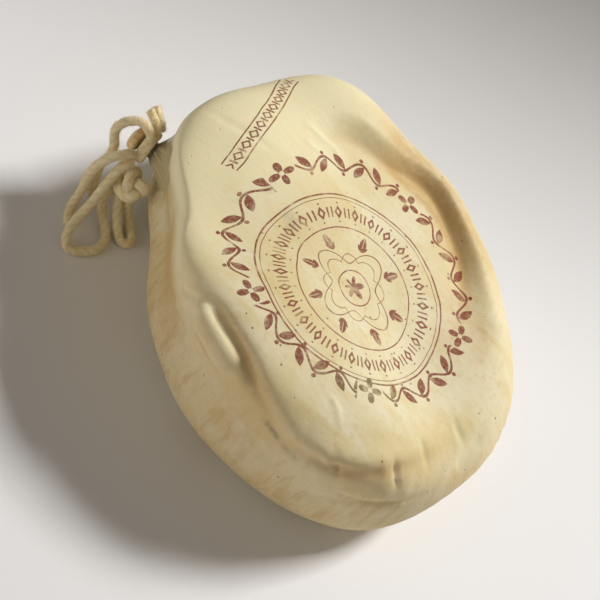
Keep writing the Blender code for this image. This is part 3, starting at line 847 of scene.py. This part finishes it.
def smooth_route(route, step):
    """Points at equal steps on the smooth curve (Catmull-Rom) through a route given in millimetres."""
    knots = np.array(route) * MM
    ends = np.vstack([2 * knots[0] - knots[1], knots, 2 * knots[-1] - knots[-2]])
    t = np.linspace(0, 1, 24, endpoint=False)[:, None]
    pieces = []
    for a, b, c, d in zip(ends, ends[1:], ends[2:], ends[3:]):
        curve = 2 * b + (c - a) * t + (2 * a - 5 * b + 4 * c - d) * t**2 + (3 * b - a - 3 * c + d) * t**3
        pieces.append(0.5 * curve)
    line = np.vstack([*pieces, knots[-1:]])
    run = lengths_along(line)
    at = np.linspace(0, run[-1], max(3, round(run[-1] / step) + 1))
    return np.stack([np.interp(at, run, line[:, axis]) for axis in range(3)], axis=-1), run[-1]


def moving_axes(line):
    """Two unit vectors across a line at each point, turned from point to point without twist."""
    tangent = np.gradient(line, axis=0)
    tangent /= np.linalg.norm(tangent, axis=1, keepdims=True)
    side = np.cross(tangent[0], (0.3, 0.5, 0.81))
    sides = []
    for way in tangent:
        side = side - way * (side @ way)
        side = side / np.linalg.norm(side)
        sides.append(side)
    sides = np.array(sides)
    return tangent, sides, np.cross(tangent, sides)


def add_string(name, solid, line, settings, radius=None):
    """String along a line: at each point a section with one lobe a strand, turned steadily as it goes on."""
    radius = np.full(len(line), settings.thickness / 2) if radius is None else radius
    _, side, up = moving_axes(line)
    run = lengths_along(line)
    angle = np.linspace(0, TAU, STRING_SIDES, endpoint=False)[None, :]
    turn = angle - (run * TAU / settings.lay_length)[:, None]
    lobe = np.abs(np.cos(turn * settings.strands / 2))
    uneven = waves(line, (4, 7, 11, 17), 11)[:, None] * 0.04
    size = radius[:, None] * (1.03 + 0.06 * lobe**0.7 + uneven)
    ends = np.minimum(run, run[-1] - run)
    size = size * np.sqrt(np.clip(ends / (0.35 * settings.thickness) + 0.25, 0, 1))[:, None]
    rings = line[:, None] + size[..., None] * (
        np.cos(angle)[..., None] * side[:, None] + np.sin(angle)[..., None] * up[:, None]
    )
    mesh = ringed_mesh(name, line[0], rings, line[-1])
    # How far each point lies between the strands' lobes, for painted shade there
    point_value(mesh, "hollow_shade", (1 - lobe) ** 1.6, 0.2)
    return add_piece(name, mesh, finish_named("twisted_cotton", cotton_material), [solid])


class CHEESE_OT_loops(Operator):
    """Twist the four loops of string that hang from the tie and the knot"""

    bl_idname = "cheese.loops"
    bl_label = "Add String Loops"

    def execute(self, context):
        settings = context.scene.cheese_string
        for name, route in LOOP_ROUTES.items():
            line, length = smooth_route(route, ROUTE_STEP)
            piece = add_string(name + "_twist", name, line, settings)
        return {"FINISHED"}


class CHEESE_OT_loaf(Operator):
    """Build the loaf's skin with its dish, lip, fold and creases"""

    bl_idname = "cheese.loaf"
    bl_label = "Add Loaf"

    def execute(self, context):
        settings = context.scene.cheese_loaf
        steps = even_steps(settings.rings + 2, settings)
        angle = np.linspace(0, TAU, settings.segments, endpoint=False)
        angles, downs = np.meshgrid(angle, steps[1:-1])
        base = loaf(angles, downs, settings)
        flat = loaf(angles, downs, settings, lifted=False)
        normal = normals_of(base)
        if normal[0, :, 2].mean() < 0:
            normal = -normal
        free = smooth_step(base[..., 2] / (14 * MM))
        rise = np.zeros(base.shape[:2])
        for path, half, height in CREASES:
            path = np.array(path) * MM
            rise += height * MM * near_path(flat, path, half * MM, fade=(0.2, 0.25), least=0.25)
        height = base[..., 2]
        wall = np.clip((height - 16 * MM) / (30 * MM), 0, 1) * np.clip((62 * MM - height) / (14 * MM), 0, 1)
        # Upright ripples on the wall, in patches, then slow and fine unevenness, then the neck's pleats
        slant = angles * 80 * MM + (height - 40 * MM) * 0.35
        ripples = np.sin(slant * TAU / (9 * MM) + 2.2 * waves(base, (31, 47, 23), 5))
        patches = smooth_step(0.5 + 0.9 * waves(base, (37, 58, 29), 6))
        rise += 0.15 * MM * ripples * patches * wall
        rise += 0.12 * MM * waves(base, (25, 31, 22, 37, 19), 3)
        rise += 0.012 * MM * waves(base, (5.5, 4.2, 6.8, 3.6, 4.8, 7.4), 4)
        neck = base - TIE_CENTRE
        reach = np.linalg.norm(neck, axis=-1)
        spread = np.arctan2(neck[..., 2], -neck[..., 1])
        rise += (0.45 - pleat(spread, 0.1)) * 1.2 * MM * smooth_step((28 * MM - reach) / (18 * MM))
        rise *= settings.crease_height * free
        grid = base + normal * rise[..., None]
        first = grid[0].mean(axis=0)
        last = grid[-1].mean(axis=0)
        share = np.arange(settings.rings + 2) / (settings.rings + 1)
        out = 0.5 * share**0.92
        turn = np.linspace(0, TAU, settings.segments + 1)
        bake = 0.5 + 0.998 * out[:, None, None] * np.stack([np.cos(turn), np.sin(turn)], axis=-1)[None]
        mesh = ringed_mesh("loaf_skin", first, grid, last, bake)
        # How far each point lies under its neighbours' average, for painted shade in the skin's dips and
        # creases
        blurred = blur(grid, 9)
        hollow_shade = np.clip(((blurred - grid) * normal).sum(axis=-1) / (0.9 * MM), 0, 1)
        point_value(mesh, "hollow_shade", hollow_shade)
        marks = {kind: np.zeros(base.shape[:2]) for kind in ("stain", "powder_and_highlight", "tan_and_shade")}
        # Steepness of the skin, for painted warm shade on its sides
        marks["side"] = 1 - np.abs(normal[..., 2])
        for kind, path, half, strength in MARKS:
            marks[kind] = np.maximum(marks[kind], strength * near_path(flat, np.array(path) * MM, half * MM))
        # The film's grey where the casing bunches to the neck, deepened as painted shade in the pleats'
        # creases
        marks["gather_shade"] = pleat(spread, 0.1) * smooth_step((27 * MM - reach) / (14 * MM))
        for kind, values in marks.items():
            point_value(mesh, kind, values)
        plan = np.concatenate([[first], flat.reshape(-1, 3), [last]])
        shift = mesh.attributes.new("print_place", "FLOAT_VECTOR", "POINT")
        shift.data.foreach_set("vector", plan.astype(np.float32).ravel())
        casing = finish_named("casing_skin", casing_material, settings)
        add_piece("loaf_skin", mesh, casing, ["cheese"])
        return {"FINISHED"}


def blur(grid, reach):
    """The grid averaged over its neighbours on both axes, round the rings and up and down."""
    total = grid.copy()
    for offset in range(1, reach + 1):
        total = total + np.roll(grid, offset, axis=1) + np.roll(grid, -offset, axis=1)
    total = total / (2 * reach + 1)
    padded = np.concatenate([np.repeat(total[:1], reach, 0), total, np.repeat(total[-1:], reach, 0)])
    rows = len(grid)
    return sum(padded[k : k + rows] for k in range(2 * reach + 1)) / (2 * reach + 1)


class CHEESE_OT_neck(Operator):
    """Gather the casing into its pleated neck and rounded tail"""

    bl_idname = "cheese.neck"
    bl_label = "Add Neck"

    def execute(self, context):
        settings = context.scene.cheese_loaf
        around, rows = 144, 110
        foot_end, sweep_end, waist_end, closing_from = 0.12, 0.55, 0.63, 0.78
        angle = np.linspace(0, TAU, around, endpoint=False)
        share = np.linspace(0, 1, rows + 2)[1:-1]
        angles, along = np.meshgrid(angle, share)
        crease = pleat(angles, along)
        fine = np.abs(np.sin(angles * 19 + 1.3 * np.sin(angles * 4)))
        axes = np.array([TIE_SIDE, TIE_UP])

        def share_of(low, high):
            return np.clip((along - low) / (high - low), 0, 1)

        def ring(way, radius):
            middle = TIE_CENTRE + way[..., None] * TIE_AXIS
            across = np.stack([-radius * np.cos(angles), radius * np.sin(angles)], axis=-1)
            return middle + across @ axes

        def on_skin(reach, lift):
            across, up = reach * np.cos(angles), reach * np.sin(angles)
            steps = np.linspace(0.3, 1.45, 400)
            wall = loaf(np.full(steps.shape, NECK_ANGLE), steps, settings)
            step = np.interp(NECK_HEIGHT + up, wall[::-1, 2], steps[::-1])
            turn = NECK_ANGLE + across / ring_through(PLAN_RADII, np.array(NECK_ANGLE))
            small = 1e-4
            point = loaf(turn, step, settings)
            down, beside = loaf(turn, step + small, settings), loaf(turn + small, step, settings)
            normal = np.cross(down - point, beside - point)
            normal /= np.linalg.norm(normal, axis=-1, keepdims=True)
            return point + normal * np.asarray(lift)[..., None]

        depth = 1.12 - 0.20 * crease - 0.09 * fine
        upward = np.clip(np.sin(angles), 0, 1)
        flare = FLARE_RADIUS * (1 + 0.03 * (1 - crease) + 0.25 * upward)
        sunk = np.full(angles.shape, -FILM_SUNK)
        hidden = on_skin(flare * share_of(0, foot_end), sunk)
        t = share_of(foot_end, sweep_end)[..., None]
        foot = on_skin(flare, sunk)
        bend = ring(np.full(angles.shape, -6.2 * MM), 6.6 * MM * depth * (1 + 0.5 * upward))
        waist_start = ring(np.full(angles.shape, -WAIST_HALF), WAIST_RADIUS * depth)
        hug = on_skin(flare * 0.6, np.full(angles.shape, 0.6 * MM))
        swept = (1 - t) ** 3 * foot + 3 * t * (1 - t) ** 2 * hug
        swept = swept + 3 * t**2 * (1 - t) * bend + t**3 * waist_start
        waist = ring(WAIST_HALF * (2 * share_of(sweep_end, waist_end) - 1), WAIST_RADIUS * depth)
        swelling = share_of(waist_end, closing_from)
        closing = share_of(closing_from, 1) * math.pi / 2
        radius = (3.3 + 2.0 * np.sin(swelling * math.pi / 2)) * MM * (1 + 0.55 * (depth - 1))
        way = WAIST_HALF + 1.55 * MM * swelling**2 + 3.2 * MM * np.sin(closing)
        tail = ring(way, radius * np.cos(closing))
        tail += 0.25 * MM * waves(tail, (6, 4, 9), 9)[..., None] * TIE_AXIS
        choice = np.digitize(along, [foot_end, sweep_end, waist_end])[..., None]
        grid = np.choose(choice, [hidden, swept, waist, tail])
        first = hidden[0].mean(axis=0)
        last = ring(np.full(angles.shape, 7.7 * MM), np.zeros(angles.shape))[0, 0]
        mesh = ringed_mesh("neck_film", first, grid, last)
        # Depth of the pleats' creases, for painted shade in the film's folds
        hollow_shade = np.clip(crease**3 * 0.5 + fine**4 * 0.5, 0, 1) * smooth_step((along - 0.25) / 0.2)
        point_value(mesh, "hollow_shade", hollow_shade)
        film = finish_named("neck_skin", film_material)
        add_piece("neck_film", mesh, film, ["casing_neck"])
        return {"FINISHED"}


def knot_line():
    """Middle of the knotted string: a trefoil, (2 + cos 3t) round twice while sin 3t goes up and down."""
    t = np.linspace(0, TAU, 260)[:-3]
    out = 2 + np.cos(3 * t)
    wound = np.stack([out * np.cos(2 * t), out * np.sin(2 * t), 1.5 * np.sin(3 * t)], axis=-1)
    tilt = np.array(Matrix.Rotation(0.9, 3, "X") @ Matrix.Rotation(0.5, 3, "Y"))
    return KNOT_CENTRE + (wound / np.array([3, 3, 1.5])) @ tilt.T * (KNOT_RADII - 1.75 * MM)


class CHEESE_OT_tie(Operator):
    """Wind the string twice round the neck, and knot it below"""

    bl_idname = "cheese.tie"
    bl_label = "Add Tie and Knot"

    def execute(self, context):
        settings = context.scene.cheese_string
        turn = np.linspace(0, TAU * 1.75, 150)
        way = (turn / turn[-1] - 0.5) * 2.2 * MM
        line = TIE_CENTRE + way[:, None] * TIE_AXIS
        out = np.cos(turn + 0.6)[:, None] * TIE_SIDE + np.sin(turn + 0.6)[:, None] * TIE_UP
        line = line + WINDING_RADIUS * out
        add_string("tie_winding", "string_tie", line, settings, np.full(len(line), 1.5 * MM))
        line = knot_line()
        add_string("knot_winding", "string_knot", line, settings, np.full(len(line), 2.0 * MM))
        return {"FINISHED"}


class CHEESE_OT_cut_ends(Operator):
    """Add the two cut ends that stand up from the tie, spread at their tips"""

    bl_idname = "cheese.cut_ends"
    bl_label = "Add Cut Ends"

    def execute(self, context):
        settings = context.scene.cheese_string
        for name, route in CUT_END_ROUTES.items():
            line, _ = smooth_route(route, 0.35 * MM)
            radius = 1.3 * MM * (1 + 0.3 * np.linspace(0, 1, len(line)))
            add_string(name + "_twist", name, line, settings, radius)
        return {"FINISHED"}


class CHEESE_OT_fuzz(Operator):
    """Raise loose fibres from the string: thin triangles that stand out and lean along and across it"""

    bl_idname = "cheese.fuzz"
    bl_label = "Add String Fuzz"

    def execute(self, context):
        settings = context.scene.cheese_string
        draw = np.random.default_rng(31)
        routes = (*LOOP_ROUTES.values(), *CUT_END_ROUTES.values())
        lines = [smooth_route(route, ROUTE_STEP)[0] for route in routes]
        points = []
        for line in (*lines, knot_line()):
            tangent, side, up = moving_axes(line)
            count = round(lengths_along(line)[-1] / MM * settings.fibres)
            index = draw.integers(1, len(line) - 1, count)
            angle = draw.uniform(0, TAU, count)[:, None]
            out = np.cos(angle) * side[index] + np.sin(angle) * up[index]
            across = np.cross(tangent[index], out)
            shift = draw.uniform(-0.3, 0.3, (count, 1)) * MM
            root = line[index] + out * 0.47 * settings.thickness + tangent[index] * shift
            lean = out + tangent[index] * draw.normal(0, 1.1, (count, 1))
            lean = lean + across * draw.normal(0, 0.9, (count, 1))
            lean /= np.linalg.norm(lean, axis=1, keepdims=True)
            tip = root + lean * draw.uniform(0.5, 1.4, (count, 1)) * MM
            wide = np.cross(lean, draw.normal(size=(count, 3)))
            wide *= 0.085 * MM / np.linalg.norm(wide, axis=1, keepdims=True)
            points.append(np.stack([root - wide, root + wide, tip], axis=1).reshape(-1, 3))
        points = np.concatenate(points)
        points[:, 2] = np.maximum(points[:, 2], 0.05 * MM)
        mesh = bpy.data.meshes.new("string_fuzz")
        mesh.from_pydata(points.tolist(), [], np.arange(len(points)).reshape(-1, 3).tolist())
        add_piece("string_fuzz", mesh, finish_named("twisted_cotton", cotton_material), [])
        return {"FINISHED"}


class CHEESE_OT_stage(Operator):
    """Lay the pale floor, with painted shade that darkens it towards the far side, and hang the lamps: a soft
    key behind, a weak low fill at the near left
    """

    bl_idname = "cheese.stage"
    bl_label = "Add Stage"

    def execute(self, context):
        settings = context.scene.cheese_stage
        bpy.ops.mesh.primitive_plane_add(size=6)
        floor = context.active_object
        floor.name = "floor"
        made, tree, shader, place = new_material("floor_paper", 0.75)
        x, y, _ = split(tree, place)
        # Painted shade on the floor: the paper darkens towards the far side, standing in for the lamps'
        # falloff
        far = (y - x * 0.45).ease(0.01, 0.37)
        colour = mix(tree, far, srgb(243, 243, 245), srgb(124, 121, 115))
        tree.links.new(colour, shader.inputs["Base Color"])
        floor.data.materials.append(made)
        for name, azimuth, elevation, reach, size, power, tone in (
            ("key", 62, 46, 2.2, 0.52, settings.key_power, (1.0, 0.985, 0.96)),
            ("fill", 236, 15, 1.3, 0.8, settings.fill_power, (1.0, 0.93, 0.84)),
        ):
            data = bpy.data.lights.new(name, "AREA")
            data.size = size
            data.energy = power
            data.color = tone
            lamp = bpy.data.objects.new(name, data)
            context.scene.collection.objects.link(lamp)
            a, e = math.radians(azimuth), math.radians(elevation)
            way = Vector((math.cos(a) * math.cos(e), math.sin(a) * math.cos(e), math.sin(e)))
            lamp.location = way * reach + Vector((0, 0, 0.03))
            lamp.rotation_euler = way.to_track_quat("Z", "Y").to_euler()
        world = bpy.data.worlds.new("studio")
        world.use_nodes = True
        background = world.node_tree.nodes["Background"]
        set_inputs(background, Color=(1.0, 0.92, 0.82, 1.0), Strength=settings.sky)
        context.scene.world = world
        context.scene.view_settings.view_transform = "Standard"
        return {"FINISHED"}


class CHEESE_PT_panel(Panel):
    """Lists the pieces and their settings"""

    bl_label = "Pit-aged Cheese"
    bl_idname = "CHEESE_PT_panel"
    bl_space_type = "VIEW_3D"
    bl_region_type = "UI"
    bl_category = "Cheese"

    def draw(self, context):
        layout = self.layout
        for operator in OPERATORS:
            layout.operator(operator.bl_idname)
        for name, settings in SETTINGS.items():
            for label in settings.__annotations__:
                layout.prop(getattr(context.scene, name), label)


OPERATORS = (
    CHEESE_OT_camera,
    CHEESE_OT_loops,
    CHEESE_OT_loaf,
    CHEESE_OT_neck,
    CHEESE_OT_tie,
    CHEESE_OT_cut_ends,
    CHEESE_OT_fuzz,
    CHEESE_OT_stage,
)
SETTINGS = {
    "cheese_loaf": CheeseLoafSettings,
    "cheese_string": CheeseStringSettings,
    "cheese_stage": CheeseStageSettings,
}
CLASSES = (*SETTINGS.values(), *OPERATORS, CHEESE_PT_panel)


def register():
    for cls in CLASSES:
        bpy.utils.register_class(cls)
    for name, settings in SETTINGS.items():
        setattr(bpy.types.Scene, name, PointerProperty(type=settings))


def unregister():
    for name in reversed(SETTINGS):
        delattr(bpy.types.Scene, name)
    for cls in reversed(CLASSES):
        bpy.utils.unregister_class(cls)


def main():
    register()
    bpy.ops.cheese.camera()
    bpy.ops.cheese.loops()
    bpy.ops.cheese.loaf()
    bpy.ops.cheese.neck()
    bpy.ops.cheese.tie()
    bpy.ops.cheese.cut_ends()
    bpy.ops.cheese.fuzz()
    bpy.ops.cheese.stage()


if __name__ == "__main__":
    main()
